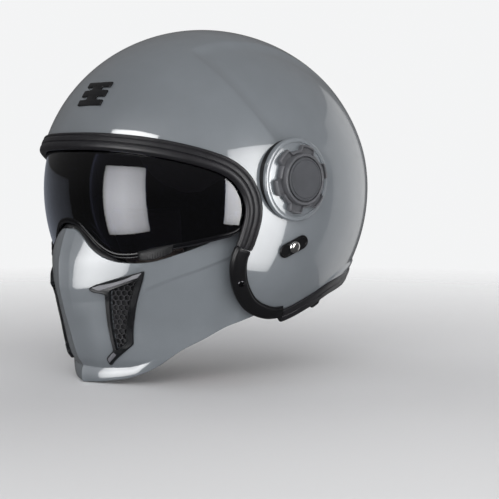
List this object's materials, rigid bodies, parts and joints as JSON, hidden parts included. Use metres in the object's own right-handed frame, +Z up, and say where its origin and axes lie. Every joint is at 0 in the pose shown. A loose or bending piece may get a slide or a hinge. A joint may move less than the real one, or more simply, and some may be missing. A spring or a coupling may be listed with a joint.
{
  "type": "open face motorcycle helmet",
  "caption": "Open-face motorcycle helmet with a drop-down smoked visor on side knobs, a vented chin guard that pulls off, padded liner and a buckled chin strap.",
  "frame": {"origin": "bottom centre of the whole helmet's bounding box, under the chin guard's lower edge", "axes": "+Z up, the wearer faces -Y and the wearer's left is +X"},
  "size_m": [0.2654, 0.2784, 0.2715],
  "materials": {
    "painted_shell": "gloss mid-grey lacquer",
    "black_plastic": "fine matte black",
    "trim_rubber": "satin black rubber",
    "smoked_lens": "dark smoked, polished",
    "bright_steel": "polished",
    "liner_foam": "expanded foam",
    "liner_cloth": "brown-grey mesh cloth",
    "strap_webbing": "woven black webbing",
    "buckle_red": "red gloss plastic"
  },
  "bodies": {
    "helmet": {"base_trim": "trim_rubber", "buckle_body": "black_plastic", "cheek_pad_left": "liner_cloth", "cheek_pad_right": "liner_cloth", "chin_strap_left": "strap_webbing", "chin_strap_right": "strap_webbing", "crown_pad": "liner_cloth", "foam_liner": "liner_foam", "neck_roll": "liner_cloth", "opening_trim": "trim_rubber", "outer_shell": "painted_shell", "pivot_gasket_left": "trim_rubber", "pivot_gasket_right": "trim_rubber", "pivot_plate_left": "painted_shell", "pivot_plate_right": "painted_shell", "rear_tab_left": "black_plastic", "rear_tab_right": "black_plastic", "rivet_plate_left": "black_plastic", "rivet_plate_right": "black_plastic", "shell_badge": "black_plastic", "side_trim_left": "black_plastic", "side_trim_right": "black_plastic", "strap_pad": "liner_cloth", "strap_rivet_left": "bright_steel", "strap_rivet_right": "bright_steel", "strap_slider": "black_plastic", "trim_screw_left": "bright_steel", "trim_screw_right": "bright_steel"},
    "visor_pivot": {"pivot_cap_left": "black_plastic", "pivot_cap_right": "black_plastic", "pivot_knob_left": "black_plastic", "pivot_knob_right": "black_plastic", "pivot_shaft_left": "bright_steel", "pivot_shaft_right": "bright_steel", "visor_hub_left": "black_plastic", "visor_hub_right": "black_plastic"},
    "visor": {"visor_lens": "smoked_lens"},
    "chin_guard": {"chin_guard": "painted_shell", "chin_guard_seal": "trim_rubber", "chin_pad": "liner_foam", "guard_hook_left": "bright_steel", "guard_hook_right": "bright_steel", "vent_frame_left": "black_plastic", "vent_frame_right": "black_plastic", "vent_mesh_left": "black_plastic", "vent_mesh_right": "black_plastic"},
    "buckle_lever": {"buckle_lever": "buckle_red", "buckle_pin": "bright_steel"},
    "buckle_tongue": {"buckle_tongue": "black_plastic"}
  },
  "joints": [
    {"name": "visor_turn", "type": "hinge", "parent": "helmet", "child": "visor_pivot", "pos_m": [0, -0.0141, 0.153], "axis": [-1, 0, 0], "range_deg": [0, 38]},
    {"name": "visor_draw", "type": "slide", "parent": "visor_pivot", "child": "visor", "axis": [0, 1, 0], "range_m": [0, 0.008]},
    {"name": "guard_release", "type": "slide", "parent": "helmet", "child": "chin_guard", "axis": [0, -0.9135, -0.4067], "range_m": [0, 0.06]},
    {"name": "buckle_open", "type": "hinge", "parent": "helmet", "child": "buckle_lever", "pos_m": [0.05113, -0.02396, 0.04307], "axis": [0.4329, -0.9014, 0], "range_deg": [0, 45]},
    {"name": "strap_release", "type": "slide", "parent": "helmet", "child": "buckle_tongue", "axis": [-0.8859, -0.4254, -0.1852], "range_m": [0, 0.012]}
  ],
  "couplings": [
    {"joint": "visor_draw", "follows": "visor_turn", "m_per_rad": 0.012062}
  ]
}
